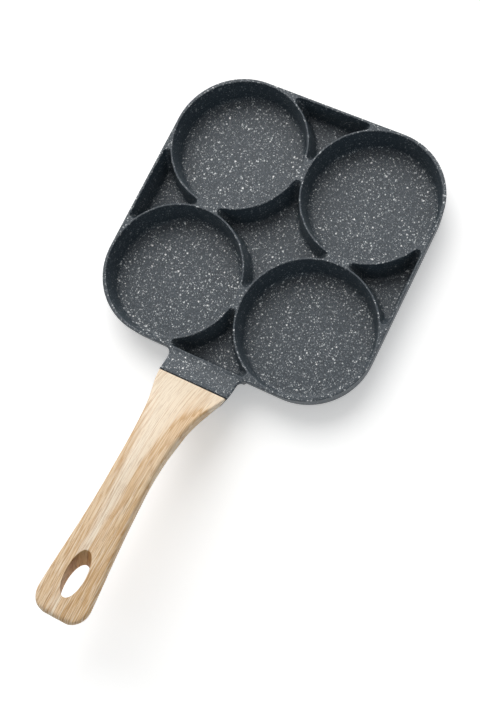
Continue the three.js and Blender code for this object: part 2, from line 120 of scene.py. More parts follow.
def piece_from(name, patches, nested=False):
    """One closed mesh from patches in mm. Open edges are capped: if nested, together by one face with
    holes in it, and else each by its own face."""
    starts = np.cumsum([0] + [len(points) for points, _ in patches[:-1]])
    points = np.concatenate([points for points, _ in patches]) * MM
    quads = np.concatenate([quads + start for (_, quads), start in zip(patches, starts)])
    mesh = bpy.data.meshes.new(name)
    mesh.from_pydata(points.tolist(), [], quads.tolist())
    work = bmesh.new()
    work.from_mesh(mesh)
    bmesh.ops.remove_doubles(work, verts=work.verts, dist=SAME_POINT)
    bmesh.ops.dissolve_degenerate(work, edges=work.edges, dist=NO_LENGTH)
    rims = [edge for edge in work.edges if edge.is_boundary]
    if nested:
        bmesh.ops.triangle_fill(work, edges=rims, use_beauty=True)
    elif rims:
        bmesh.ops.holes_fill(work, edges=rims, sides=0)
    bmesh.ops.recalc_face_normals(work, faces=work.faces)
    work.to_mesh(mesh)
    work.free()
    piece = bpy.data.objects.new(name, mesh)
    bpy.context.scene.collection.objects.link(piece)
    return piece


print("points closer than", SAME_POINT / MM, "mm are merged")

# %% Joining, cutting and shading
# Faces narrower than this are cleared after a cut, in metres
SLIVER = 2e-6


def combine(piece, other, operation):
    """Joins another closed solid to a piece, or cuts it away, and clears the slivers that this leaves."""
    step = piece.modifiers.new(operation.lower(), "BOOLEAN")
    step.operation = operation
    step.solver = "MANIFOLD"
    step.object = other
    depsgraph = bpy.context.evaluated_depsgraph_get()
    made = bpy.data.meshes.new_from_object(piece.evaluated_get(depsgraph))
    made.materials.clear()
    work = bmesh.new()
    work.from_mesh(made)
    bmesh.ops.dissolve_degenerate(work, edges=work.edges, dist=SLIVER)
    work.to_mesh(made)
    work.free()
    piece.modifiers.clear()
    piece.data = made
    bpy.data.objects.remove(other)
    return piece


def finish_shading(piece, crease):
    """Smooth shading with sharp creases. Larger faces weigh more in the normals, so flats stay flat."""
    piece.data.shade_smooth()
    piece.data.set_sharp_from_angle(angle=math.radians(crease))
    weigh = piece.modifiers.new("weighted_normals", "WEIGHTED_NORMAL")
    weigh.mode = "FACE_AREA"
    weigh.keep_sharp = True
    print(piece.name, "has", len(piece.data.polygons), "faces")


print("slivers under", SLIVER / MM, "mm are cleared")

# %% [markdown]
# ## The hollows
# A cup is turned: a profile of floor, fillet, drafted wall and rounded rim, swept round the cup's axis.
# The pockets fill the space that round cups leave in a square, so their sides are arcs about the cups'
# axes. Each level of a pocket is the same outline drawn in a little further, which keeps an even draft all
# the way round.

# %% Levels of a hollow
FILLET_STEPS = 10
RIM_STEPS = 7


def foot(low, high, draft, radius, count):
    """Heights and insets of a fillet between a flat at low and a wall that leans by draft up to high."""
    lean = math.radians(draft)
    turn = math.pi / 2 - lean
    middle = (high - low) * math.tan(lean) + radius * math.tan(turn / 2)
    bend = arc(0.0, 0.0, radius, -math.pi / 2, turn - math.pi / 2, count)
    return np.stack([low + radius + bend[:, 1], middle - bend[:, 0]], axis=-1)


def rim(sign):
    """Heights and insets of the rounded upper edge: sign 1 round the outside, -1 round a hollow."""
    angle = np.linspace(0.0, math.pi / 2, RIM_STEPS)
    drop = RIM_EDGE * (1 - np.sin(angle))
    return np.stack([BODY_HEIGHT - drop, sign * RIM_EDGE * (1 - np.cos(angle))], axis=-1)


def hollow_levels(draft, fillet):
    """Heights and insets from a hollow's floor to the flat of the rim."""
    return np.concatenate([foot(FLOOR_Z, BODY_HEIGHT - RIM_EDGE, draft, fillet, FILLET_STEPS), rim(-1)])


print("levels of a hollow:", len(hollow_levels(CUP_DRAFT, CUP_FILLET)))

# %% Cups
CUP_SIDES = 192
FLAT_SHARES = np.array([0.0, 0.3, 0.6, 0.85])


def cup(x, y):
    """A turned hollow: at each height a circle of radius CUP_RADIUS - inset about (x, y)."""
    levels = hollow_levels(CUP_DRAFT, CUP_FILLET)
    radius = CUP_RADIUS - levels[:, 1]
    radius = np.concatenate([radius[0] * FLAT_SHARES, radius])
    height = np.concatenate([np.full(len(FLAT_SHARES), FLOOR_Z), levels[:, 0]])
    turn = np.linspace(0.0, 2 * math.pi, CUP_SIDES, endpoint=False)
    circle = np.stack([np.cos(turn), np.sin(turn)], axis=-1)
    outline = np.array([x, y]) + radius[:, None, None] * circle
    return ring_skin(at_height(outline, height))


cups = [cup(x, y) for x in (-HALF_PITCH, HALF_PITCH) for y in (-HALF_PITCH, HALF_PITCH)]
print("cups:", len(cups), "of", round(2 * CUP_RADIUS, 1), "mm")

# %% Outlines of the pockets
TIP_POINTS = 13
SIDE_POINTS = 40


def side_outline(inset, tip):
    """The pocket on +Y: two arcs about the cups' axes, a straight outer edge and three round ends."""
    curve = POCKET_RADIUS + inset
    reach = curve + tip
    edge = POCKET_LINE - inset - tip
    inner = HALF_PITCH + np.sqrt(reach ** 2 - HALF_PITCH ** 2)
    along = HALF_PITCH - np.sqrt(reach ** 2 - (edge - HALF_PITCH) ** 2)
    low = np.arctan2(inner - HALF_PITCH, HALF_PITCH)
    high = np.arctan2(edge - HALF_PITCH, HALF_PITCH - along)
    return np.concatenate([
        arc(0.0, inner, tip, np.pi + low, 2 * np.pi - low, TIP_POINTS),
        arc(HALF_PITCH, HALF_PITCH, curve, np.pi - low, np.pi - high, SIDE_POINTS)[:, 1:-1],
        arc(along, edge, tip, -high, np.pi / 2, TIP_POINTS),
        arc(-along, edge, tip, np.pi / 2, np.pi + high, TIP_POINTS),
        arc(-HALF_PITCH, HALF_PITCH, curve, high, low, SIDE_POINTS)[:, 1:-1],
    ], axis=1)


def quarter_turns(outline, quarter):
    """An outline turned by quarter turns about the body's middle."""
    cos, sin = round(math.cos(quarter * math.pi / 2)), round(math.sin(quarter * math.pi / 2))
    return outline @ np.array([[cos, sin], [-sin, cos]])


def centre_outline(inset, tip):
    """The middle pocket: four arcs about the cups' axes, joined by four round ends."""
    curve = POCKET_RADIUS + inset
    end = HALF_PITCH - np.sqrt((curve + tip) ** 2 - HALF_PITCH ** 2)
    low = np.arctan2(HALF_PITCH - end, HALF_PITCH)
    quarter = np.concatenate([
        arc(end, 0.0, tip, low - np.pi / 2, np.pi / 2 - low, TIP_POINTS),
        arc(HALF_PITCH, HALF_PITCH, curve, 1.5 * np.pi - low, np.pi + low, SIDE_POINTS)[:, 1:-1],
    ], axis=1)
    return np.concatenate([quarter_turns(quarter, k) for k in range(4)], axis=1)


print("points round a side pocket:", 3 * TIP_POINTS + 2 * (SIDE_POINTS - 2))

# %% Pockets
SIDE_MIDDLE = (0.0, 79.0)
POCKET_SHARES = np.array([0.0, 0.35, 0.7])


def pocket(outline, tip, middle, quarter=0):
    """A hollow whose outline is drawn in with depth; its floor closes on a middle point."""
    levels = hollow_levels(POCKET_DRAFT, POCKET_FILLET)
    inset = levels[:, 1:]
    rings = outline(inset, tip - np.minimum(inset, 0.0))
    floor = np.array(middle) + POCKET_SHARES[:, None, None] * (rings[0] - np.array(middle))
    rings = quarter_turns(np.concatenate([floor, rings]), quarter)
    heights = np.concatenate([np.full(len(POCKET_SHARES), FLOOR_Z), levels[:, 0]])
    return ring_skin(at_height(rings, heights))


pockets = [pocket(side_outline, SIDE_TIP, SIDE_MIDDLE, quarter) for quarter in range(4)]
pockets.append(pocket(centre_outline, CENTRE_TIP, (0.0, 0.0)))
print("pockets:", len(pockets))

# %% [markdown]
# ## The outside, the lug and the tongue
# The outside is a rounded square with a drafted wall and a large rounding under it. The lug leaves it as
# a flat bar: its sides flare into the wall, and its upper face lifts in a parabola towards the handle.
# A flat tongue carries on inside the wood. The three are joined by a boolean, because where the bar meets
# the wall is a curve that is easier to cut than to write down.

# %% Outer wall, rim and base
CORNER_POINTS = 40
BASE_STEPS = 12


def square_outline(inset):
    """A square of half side HALF_BODY - inset whose corners have radius OUTER_CORNER - inset."""
    middle = HALF_BODY - OUTER_CORNER
    corner = arc(middle, middle, OUTER_CORNER - inset, 0.0, np.pi / 2, CORNER_POINTS)
    return np.concatenate([quarter_turns(corner, k) for k in range(4)], axis=1)


def outer_wall():
    """The base, its rounded edge, the drafted wall and the rim's outer rounding."""
    wall = foot(0.0, BODY_HEIGHT - RIM_EDGE, OUTER_DRAFT, BASE_EDGE, BASE_STEPS)
    levels = np.concatenate([wall, rim(1)])
    rings = square_outline(levels[:, 1:])
    base = FLAT_SHARES[:, None, None] * rings[0]
    heights = np.concatenate([np.zeros(len(FLAT_SHARES)), levels[:, 0]])
    return ring_skin(at_height(np.concatenate([base, rings]), heights))


pan = piece_from("pan_casting", [outer_wall(), *cups, *pockets], nested=True)
print("block with its hollows:", len(pan.data.vertices), "points")

# %% Sizes of the lug, the tongue and the joint
LUG_LENGTH = 14.7
LUG_WIDTH = 48.8
LUG_SPREAD = 0.5
LUG_THICKNESS = 15.0
LUG_ROOT_EXTRA = 1.5
LUG_FILLET = 5.0
LUG_TAPER = 6.2
LUG_EDGE_TOP = 1.2
LUG_EDGE_BOTTOM = 5.0
LUG_CROWN = 0.2
LUG_RISE = 36.0
HANDLE_RISE = 22.0
TONGUE_LENGTH = 38.0
TONGUE_WIDTHS = (26.0, 18.0)
TONGUE_THICKNESS = 4.4
TONGUE_DEPTH = 5.0
TONGUE_CORNER = 1.2
TONGUE_LEAD = 1.2
TONGUE_ROOT = 3.0
GASKET_THICKNESS = 0.7
JOINT_GAP = 0.25
MORTISE_CLEARANCE = 0.3
CROWN_SHARE = 0.6
RISE = math.radians(HANDLE_RISE)
LUG_CURVE = math.tan(math.radians(LUG_RISE)) / (2 * LUG_LENGTH)
JOINT_Y = -HALF_BODY - LUG_LENGTH
JOINT_Z = BODY_HEIGHT + LUG_CURVE * LUG_LENGTH ** 2
print("joint at y", round(JOINT_Y, 1), "z", round(JOINT_Z, 2))

# %% A bar's section, and the joint's frame
BAR_CORNER_POINTS = 9


def unit(vectors):
    """Vectors brought to length one."""
    return vectors / np.linalg.norm(vectors, axis=-1, keepdims=True)


def rounded(corners, radius, count):
    """Convex outlines (sections, corners, 2) with every corner rounded by a true arc.

    An arc's middle lies on the corner's bisector, radius / sin(half the corner's angle) from the corner."""
    back = unit(np.roll(corners, 1, axis=1) - corners)
    on = unit(np.roll(corners, -1, axis=1) - corners)
    half = np.arccos(np.clip((back * on).sum(axis=-1), -1.0, 1.0)) / 2
    middle = corners + unit(back + on) * (radius / np.sin(half))[..., None]
    start = corners + back * (radius / np.tan(half))[..., None] - middle
    first = np.arctan2(start[..., 1], start[..., 0])[..., None]
    last = first + (np.pi - 2 * half)[..., None]
    points = arc(middle[..., :1], middle[..., 1:], radius[..., None], first, last, count)
    return points.reshape(len(corners), -1, 2)


def bar_sections(width, thickness, taper, edge_top, edge_bottom, crown):
    """Sections of a flat bar below its crowned upper face; every size is one number for each section."""
    half, low, zero = width / 2, width / 2 - taper, 0.0 * width
    across = np.stack([-low, low, half, zero, -half], axis=-1)
    height = np.stack([-thickness, -thickness, zero, crown, zero], axis=-1)
    bow = CROWN_SHARE * half ** 2 / crown
    radius = np.stack([edge_bottom, edge_bottom, edge_top, bow, edge_top], axis=-1)
    return rounded(np.stack([across, height], axis=-1), radius, BAR_CORNER_POINTS)


def from_joint(points):
    """Points of the joint's own frame, -Y along the tongue, turned by the rise and set at the joint."""
    x, y, z = np.moveaxis(points, -1, 0)
    raised = [x, y * math.cos(RISE) + z * math.sin(RISE), z * math.cos(RISE) - y * math.sin(RISE)]
    return np.stack(raised, axis=-1) + np.array([0.0, JOINT_Y, JOINT_Z])


print("100 mm along the handle is at", from_joint(np.array([0.0, -100.0, 0.0])).round(1).tolist(), "mm")

# %% Lug and tongue
LUG_BITE = 0.85
WALL_LEAN = 0.12
FLARE_STEPS = 14
LUG_STEPS = 12
TONGUE_CORNER_POINTS = 6


def lug():
    """Bar sections from inside the wall to the joint: z lifts by LUG_CURVE * out^2, the sides flare by a
    quarter circle, and the root plane leans with the wall so that it stays inside the metal."""
    flared = LUG_FILLET * (1 - np.cos(np.linspace(0.0, np.pi / 2, FLARE_STEPS)))
    out = np.concatenate([[-LUG_BITE], flared, np.linspace(LUG_FILLET, LUG_LENGTH, LUG_STEPS)[1:]])
    near = np.clip(LUG_FILLET - out, 0.0, LUG_FILLET)
    flare = LUG_FILLET - np.sqrt(LUG_FILLET ** 2 - near ** 2)
    ahead = np.maximum(out, 0.0)
    left = 1 - ahead / LUG_LENGTH
    one = np.ones_like(out)
    width = LUG_WIDTH + 2 * (LUG_SPREAD * left + flare)
    thickness = LUG_THICKNESS + LUG_ROOT_EXTRA * left ** 2
    sections = bar_sections(width, thickness, LUG_TAPER * one, LUG_EDGE_TOP * one,
                            LUG_EDGE_BOTTOM * one, LUG_CROWN * one)
    lean = RISE * (1 - left)[:, None]
    hang = sections[..., 1] - LUG_CROWN
    root = np.where(out < 0, WALL_LEAN, 0.0)[:, None]
    y = -HALF_BODY - out[:, None] + hang * np.sin(lean) - root * hang
    z = BODY_HEIGHT + LUG_CURVE * ahead[:, None] ** 2 + hang * np.cos(lean)
    return ring_skin(np.stack([sections[..., 0], y, z], axis=-1))


def tongue(clearance, start):
    """A flat bar in the joint's frame, narrowing to its tip, grown all round by a clearance."""
    end = -TONGUE_LENGTH - clearance
    y = np.array([start, end + TONGUE_LEAD, end])
    narrow = np.array([0.0, 0.0, TONGUE_LEAD / 2])
    half = np.interp(-y, [0.0, TONGUE_LENGTH], TONGUE_WIDTHS) / 2 + clearance - narrow
    thick = TONGUE_THICKNESS / 2 + clearance - narrow
    across = np.stack([-half, half, half, -half], axis=-1)
    height = np.stack([-thick, -thick, thick, thick], axis=-1)
    radius = np.full(across.shape, TONGUE_CORNER)
    sections = rounded(np.stack([across, height], axis=-1), radius, TONGUE_CORNER_POINTS)
    along = np.broadcast_to(y[:, None], sections.shape[:2])
    points = np.stack([sections[..., 0], along, sections[..., 1] - TONGUE_DEPTH], axis=-1)
    return ring_skin(from_joint(points))


combine(pan, piece_from("lug", [lug()]), "UNION")
combine(pan, piece_from("tongue", [tongue(0.0, TONGUE_ROOT)]), "UNION")
print("casting with lug and tongue:", len(pan.data.polygons), "faces")

# %% [markdown]
# ## Pegs for the screw
# The screw comes up through the handle into the tongue. A plain peg on its axis cuts its way through the
# metal, and wider ones cut the clearance hole and the well for the head in the wood.

# %% Screw's axis and pegs
SCREW_FROM_TIP = 16.0
SCREW_FROM_JOINT = TONGUE_LENGTH - SCREW_FROM_TIP
SCREW_DIAMETER = 5.0
SCREW_HEAD_DIAMETER = 9.0
SCREW_HEAD_HEIGHT = 2.6
SCREW_RECESS_DEPTH = 1.6
SCREW_RECESS_WIDTH = 1.1
SCREW_RECESS_SPAN = 5.0
SCREW_POINT = 0.6
SCREW_SHORT = 0.4
HEAD_SINK = 0.4
WASHER_DIAMETER = 10.0
WASHER_THICKNESS = 0.8
SCREW_CLEARANCE = 0.25
WELL_CLEARANCE = 0.6
SEAT_GAP = 0.25
CUT_CLEAR = 3.0
PEG_SIDES = 48
SCREW_AXIS = np.array([0.0, -SCREW_FROM_JOINT])


def turned(profile, sides):
    """A profile of (radius, height) rows swept round the screw's axis, in the joint's frame."""
    profile = np.asarray(profile, dtype=float)
    turn = np.linspace(0.0, 2 * math.pi, sides, endpoint=False)
    circle = np.stack([np.cos(turn), np.sin(turn)], axis=-1)
    outline = SCREW_AXIS + profile[:, 0, None, None] * circle
    return ring_skin(from_joint(at_height(outline, profile[:, 1])))


def peg(diameter, low, high):
    """A plain round peg on the screw's axis."""
    return piece_from("peg", [turned([(diameter / 2, low), (diameter / 2, high)], PEG_SIDES)])


tongue_bore = peg(SCREW_DIAMETER + 2 * SCREW_CLEARANCE, -TONGUE_DEPTH - TONGUE_THICKNESS, 0.0)
combine(pan, tongue_bore, "DIFFERENCE")
CREASE = 32
finish_shading(pan, CREASE)

# %% [markdown]
# ## The handle
# The handle is shaped from one oak board: wide and flat where it meets the lug, slim and crowned at the
# grip, and broader again at the tail. A short table of stations gives its height, width and thickness along
# its length, and a smooth curve through them carries the section from the lug's to the grip's. The tail is
# drawn in by quarter rounds, in plan and in side view.

# %% Sizes of the handle
HANDLE_LENGTH = 161.0
HANDLE_STEP = 0.1
HANDLE_TAPER = 3.0
HANDLE_EDGE_TOP = 2.4
HANDLE_EDGE_BOTTOM = 6.0
HANDLE_CROWN = 2.0
GRIP_BLEND = 0.3
EDGE_ROOM = 0.94
TAIL_CORNER = 12.0
TAIL_EDGE = 3.5
HOLE_LENGTH = 28.7
HOLE_WIDTH = 12.4
HOLE_FROM_TAIL = 26.4
HOLE_EDGE = 1.8
HOLE_LEAN = 33.0
HANDLE_START = 2 * JOINT_GAP + GASKET_THICKNESS
SLOPE_REACH = 0.04
# Share of the length, upper face over the tongue's axis line, width and thickness
HANDLE_STATIONS = np.array([
    (0.000, 0.0, LUG_WIDTH - 2 * HANDLE_STEP, LUG_THICKNESS),
    (0.065, 3.3, 43.0, LUG_THICKNESS + 1.4),
    (0.115, 5.2, 37.6, LUG_THICKNESS + 2.4),
    (0.170, 6.4, 32.9, LUG_THICKNESS + 2.9),
    (0.240, 6.8, 29.5, 17.9),
    (0.330, 5.8, 26.9, 17.7),
    (0.450, 2.2, 26.0, 17.2),
    (0.580, -4.2, 27.2, 16.4),
    (0.720, -10.9, 30.2, 15.0),
    (0.860, -17.9, 34.3, 13.0),
    (1.000, -25.4, 37.4, 12.0),
])


def station(share, column):
    """A cubic through one column of the stations; its grade at one is that between its two neighbours."""
    x, y = HANDLE_STATIONS[:, 0], HANDLE_STATIONS[:, column]
    last = len(x) - 1
    grade = np.empty_like(y)
    grade[1:-1] = (y[2:] - y[:-2]) / (x[2:] - x[:-2])
    grade[0] = (y[1] - y[0]) / (x[1] - x[0])
    grade[last] = (y[last] - y[last - 1]) / (x[last] - x[last - 1])
    k = np.clip(np.searchsorted(x, share, side="right") - 1, 0, last - 1)
    step = x[k + 1] - x[k]
    t = (share - x[k]) / step
    rise = y[k + 1] - y[k]
    m1, m2 = grade[k] * step, grade[k + 1] * step
    return y[k] + t * (m1 + t * (3 * rise - 2 * m1 - m2 + t * (m1 + m2 - 2 * rise)))


def slope(share):
    """The angle of the handle's upper face over the tongue's axis, from two near points."""
    low, high = np.clip(share - SLOPE_REACH, 0.0, 1.0), np.clip(share + SLOPE_REACH, 0.0, 1.0)
    return np.arctan((station(high, 1) - station(low, 1)) / ((high - low) * HANDLE_LENGTH))


GRIP_SHARE = 0.45
print("grip", station(GRIP_SHARE, 2), "mm wide and", station(GRIP_SHARE, 3), "mm thick")

# %% Handle blank
GRIP_RINGS = 110
TAIL_RINGS = 22
# The tail's rings crowd towards its end and stop just short of it, so that a small flat closes the skin
TAIL_TURN = 0.46 * np.pi


def drawn_in(radius, distance):
    """How far a rounded end of this radius has drawn in, at a distance from the end."""
    left = np.clip(radius - distance, 0.0, radius)
    return radius - np.sqrt(radius ** 2 - left ** 2)


def handle_blank():
    """Bar sections hung from the arched upper line, turning square to it; sizes blend from lug to grip."""
    run = HANDLE_LENGTH - TAIL_CORNER - HANDLE_START
    grip = HANDLE_START + run * np.linspace(0.0, 1.0, GRIP_RINGS)
    tail = HANDLE_LENGTH - TAIL_CORNER * np.cos(np.linspace(0.0, TAIL_TURN, TAIL_RINGS))[1:] ** 2
    out = np.concatenate([grip, tail])
    share, left = out / HANDLE_LENGTH, HANDLE_LENGTH - out
    ease = np.clip(share / GRIP_BLEND, 0.0, 1.0)
    ease = ease ** 2 * (3 - 2 * ease)
    slim = drawn_in(TAIL_EDGE, left)
    thickness = station(share, 3) - 2 * slim
    least = np.minimum(1.0, EDGE_ROOM * thickness / (HANDLE_EDGE_TOP + HANDLE_EDGE_BOTTOM))
    top = least * (LUG_EDGE_TOP + (HANDLE_EDGE_TOP - LUG_EDGE_TOP) * ease)
    bottom = least * (LUG_EDGE_BOTTOM + (HANDLE_EDGE_BOTTOM - LUG_EDGE_BOTTOM) * ease)
    crown = LUG_CROWN + (HANDLE_CROWN - LUG_CROWN) * ease
    taper = LUG_TAPER + (HANDLE_TAPER - LUG_TAPER) * ease
    width = station(share, 2) - 2 * drawn_in(TAIL_CORNER, left)
    sections = bar_sections(width, thickness, taper, top, bottom, crown)
    lean = (ease * slope(share))[:, None]
    hang = sections[..., 1] - (crown + slim)[:, None]
    along = hang * np.sin(lean) - out[:, None]
    height = hang * np.cos(lean) + station(share, 1)[:, None]
    return ring_skin(from_joint(np.stack([sections[..., 0], along, height], axis=-1)))


handle = piece_from("oak_handle", [handle_blank()])
print("handle blank:", len(handle.data.polygons), "faces")

# %% [markdown]
# ## The hanging hole, the mortise and the screw's well
# A router cuts the oval hole on a slant, towards the tail, and rounds both its edges over. As a cutter it
# is a stack of ovals that widen towards both faces along a quarter circle. The mortise is the tongue with a
# clearance all round, and the screw's well is a wide peg.

# %% Hanging hole
HOLE_SIDES = 120
HOLE_EDGE_STEPS = 9
HOLE_SHARE = 1 - HOLE_FROM_TAIL / HANDLE_LENGTH
HOLE_TILT = -slope(HOLE_SHARE)
HOLE_SLIDE = math.tan(math.radians(HOLE_LEAN))


def hang_hole():
    """Ovals across the handle, sliding to the tail by HOLE_SLIDE of their depth, and widening by a quarter
    round at either face."""
    angle = np.linspace(np.pi / 2, 0.0, HOLE_EDGE_STEPS)
    height = np.concatenate([[CUT_CLEAR], -HOLE_EDGE * (1 - np.sin(angle))])
    grow = np.concatenate([[HOLE_EDGE + CUT_CLEAR], HOLE_EDGE * (1 - np.cos(angle))])
    height = np.concatenate([height, -station(HOLE_SHARE, 3) - height[::-1]])
    grow = np.concatenate([grow, grow[::-1]])[:, None]
    turn = np.linspace(0.0, 2 * np.pi, HOLE_SIDES, endpoint=False)
    x = (HOLE_WIDTH / 2 + grow) * np.cos(turn)
    y = (HOLE_LENGTH / 2 + grow) * np.sin(turn) + HOLE_SLIDE * height[:, None]
    cos, sin = math.cos(HOLE_TILT), math.sin(HOLE_TILT)
    along = y * cos - height[:, None] * sin - HOLE_SHARE * HANDLE_LENGTH
    up = y * sin + height[:, None] * cos + station(HOLE_SHARE, 1)
    return ring_skin(from_joint(np.stack([x, along, up], axis=-1)))


combine(handle, piece_from("hole", [hang_hole()]), "DIFFERENCE")
print("hanging hole leans by", round(math.degrees(HOLE_TILT), 1), "degrees with the handle")

# %% Mortise and well
SCREW_SHARE = SCREW_FROM_JOINT / HANDLE_LENGTH
UNDERSIDE_Z = station(SCREW_SHARE, 1) - station(SCREW_SHARE, 3)
WELL_Z = UNDERSIDE_Z + SCREW_HEAD_HEIGHT + WASHER_THICKNESS + 2 * SEAT_GAP + HEAD_SINK
WASHER_Z = WELL_Z - SEAT_GAP - WASHER_THICKNESS
HEAD_Z = WASHER_Z - SEAT_GAP
SCREW_END_Z = -TONGUE_DEPTH + TONGUE_THICKNESS / 2 - SCREW_SHORT

WELL_DIAMETER = WASHER_DIAMETER + 2 * WELL_CLEARANCE
WOOD_BORE = SCREW_DIAMETER + 4 * SCREW_CLEARANCE
combine(handle, piece_from("mortise", [tongue(MORTISE_CLEARANCE, CUT_CLEAR)]), "DIFFERENCE")
combine(handle, peg(WELL_DIAMETER, UNDERSIDE_Z - CUT_CLEAR, WELL_Z), "DIFFERENCE")
combine(handle, peg(WOOD_BORE, UNDERSIDE_Z, -TONGUE_DEPTH), "DIFFERENCE")
finish_shading(handle, CREASE)

# %% Routed faces
# The hole's walls keep a mark, 1 for routed, that the wood's finish reads. A face has it if it lies in the
# slanted oval, grown by the rounding and a hair, and isn't as level as the handle's upper face
ROUTED_REACH = 1.02
LEVEL_FACE = 0.85
faces = handle.data.polygons
centre, normal = np.empty(3 * len(faces)), np.empty(3 * len(faces))
faces.foreach_get("center", centre)
faces.foreach_get("normal", normal)
centre, normal = centre.reshape(-1, 3) / MM, normal.reshape(-1, 3)
hole_at = from_joint(np.array([0.0, -HOLE_SHARE * HANDLE_LENGTH, station(HOLE_SHARE, 1)]))
x, y, z = (centre - hole_at).T
height = z * math.cos(HOLE_TILT) - y * math.sin(HOLE_TILT)
along = y * math.cos(HOLE_TILT) + z * math.sin(HOLE_TILT) - HOLE_SLIDE * height
half_wide, half_long = HOLE_WIDTH / 2 + HOLE_EDGE, HOLE_LENGTH / 2 + HOLE_EDGE
inside = np.hypot(x / half_wide, along / half_long) < ROUTED_REACH
walls = inside & (np.abs(normal[:, 2]) < LEVEL_FACE)
mark = handle.data.attributes.new("routed", "FLOAT", "FACE")
mark.data.foreach_set("value", walls.astype(np.float32))
print("routed faces:", int(walls.sum()))

# %% [markdown]
# ## Screw and washer
# Only the screw's head shows, down in its well under the handle. It is still made as the real one is: a
# domed head with a cross recess, and a shank with a thread, whose radius rises and falls along a helix.

# %% Thread and cross recess
THREAD_PITCH = 0.8
THREAD_DEPTH = 0.45
RECESS_TAPER = np.array([[1.0, 1.0], [0.9, 0.45]])
RECESS_OVER = 1.0


def threaded_shank(low, high, sides=40, steps=130):
    """Radius falls by a triangle wave of height / pitch - turn / 2 pi, which is a thread's helix."""
    height = np.linspace(low, high, steps)[:, None]
    turn = np.linspace(0.0, 2 * np.pi, sides, endpoint=False)
    wave = np.abs(2 * np.mod(height / THREAD_PITCH - turn / (2 * np.pi), 1.0) - 1)
    fade = np.clip((height - low) / THREAD_PITCH, 0.0, 1.0)
    point = np.clip((height - high + SCREW_POINT), 0.0, SCREW_POINT)
    radius = SCREW_DIAMETER / 2 - np.maximum(THREAD_DEPTH * wave * fade, point)
    outline = np.stack([radius * np.cos(turn), radius * np.sin(turn)], axis=-1) + SCREW_AXIS
    level = np.broadcast_to(height, radius.shape)[..., None]
    return ring_skin(from_joint(np.concatenate([outline, level], axis=-1)))


def cross_bar(turned_by):
    """One bar of the cross recess, its end tapering as a driver's does."""
    size = np.array([SCREW_RECESS_WIDTH, SCREW_RECESS_SPAN]) / 2
    corners = np.array([[-1, -1], [1, -1], [1, 1], [-1, 1]]) * size * RECESS_TAPER[:, None, :]
    cos, sin = math.cos(turned_by), math.sin(turned_by)
    corners = corners @ np.array([[cos, sin], [-sin, cos]]) + SCREW_AXIS
    low = HEAD_Z - SCREW_HEAD_HEIGHT
    heights = np.array([low - RECESS_OVER, low + SCREW_RECESS_DEPTH])
    return ring_skin(from_joint(at_height(corners, heights)))


print("thread turns:", round((SCREW_END_Z - HEAD_Z) / THREAD_PITCH, 1))

# %% Screw
HEAD_SIDES = 64
HEAD_CHEEK = 0.25
HEAD_BREAK = 0.15
SHANK_BITE = 0.5
DOME_STEPS = 12
dome = np.linspace(0.0, np.pi / 2, DOME_STEPS)
head_radius = SCREW_HEAD_DIAMETER / 2
drop = SCREW_HEAD_HEIGHT * (HEAD_CHEEK + (1 - HEAD_CHEEK) * np.cos(dome))
head = np.stack([head_radius * np.sin(dome), HEAD_Z - drop], axis=-1)
head = np.concatenate([head, [(head_radius, HEAD_Z - HEAD_BREAK), (head_radius - HEAD_BREAK, HEAD_Z)]])
screw = piece_from("head_and_shank", [turned(head, HEAD_SIDES)])
combine(screw, piece_from("thread", [threaded_shank(HEAD_Z - SHANK_BITE, SCREW_END_Z)]), "UNION")
for turned_by in (0.0, np.pi / 2):
    combine(screw, piece_from("recess", [cross_bar(turned_by)]), "DIFFERENCE")
screw.name = "cross_head_screw"
SCREW_CREASE = 35
finish_shading(screw, SCREW_CREASE)

# %% Washer
WASHER_EDGE = 0.12
WASHER_CREASE = 30
bore, edge = SCREW_DIAMETER / 2 + 2 * SCREW_CLEARANCE, WASHER_EDGE
disc, low, top = WASHER_DIAMETER / 2, WASHER_Z, WASHER_Z + WASHER_THICKNESS
below = [(bore, low + edge), (bore + edge, low), (disc - edge, low), (disc, low + edge)]
above = [(disc, top - edge), (disc - edge, top), (bore + edge, top), (bore, top - edge)]
washer = piece_from("steel_washer", [turned([*below, *above, below[0]], HEAD_SIDES)])
finish_shading(washer, WASHER_CREASE)

# %% [markdown]
# ## Riding and replacing
# The pan has no moving joint, so every piece rides on the one body. Each new piece stands for the CAD node
# of the same real piece. The gasket's CAD solid is already the thin sheet it should be, so it only gets a
# finish.

# %% Bodies, nodes and slots
dressed = [
    (pan, "pan_body", "pan_coating"),
    (handle, "handle", "handle_wood"),
    (screw, "handle_screw", "screw_steel"),
    (washer, "screw_washer", "washer_steel"),
]
for piece, node_name, slot_name in dressed:
    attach(piece, "root")
    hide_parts(node_name)
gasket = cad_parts["joint_gasket"]
print("replaced:", [node_name for _, node_name, _ in dressed])

# %% [markdown]
# ## Materials
# One function adds a node, sets it and links it. Colours are written as sRGB hex values, as a paint shop
# would, and turned to the linear values that the shader works in. Patterns are sized in real millimetres.

# %% Nodes and colours
def linear(code):
    """An sRGB hex colour as linear RGBA: c / 12.92 when dark, else ((c + 0.055) / 1.055) ** 2.4."""
    value = np.array([int(code[i:i + 2], 16) for i in (1, 3, 5)]) / 255
    value = np.where(value <= 0.04045, value / 12.92, ((value + 0.055) / 1.055) ** 2.4)
    return (*value.tolist(), 1.0)


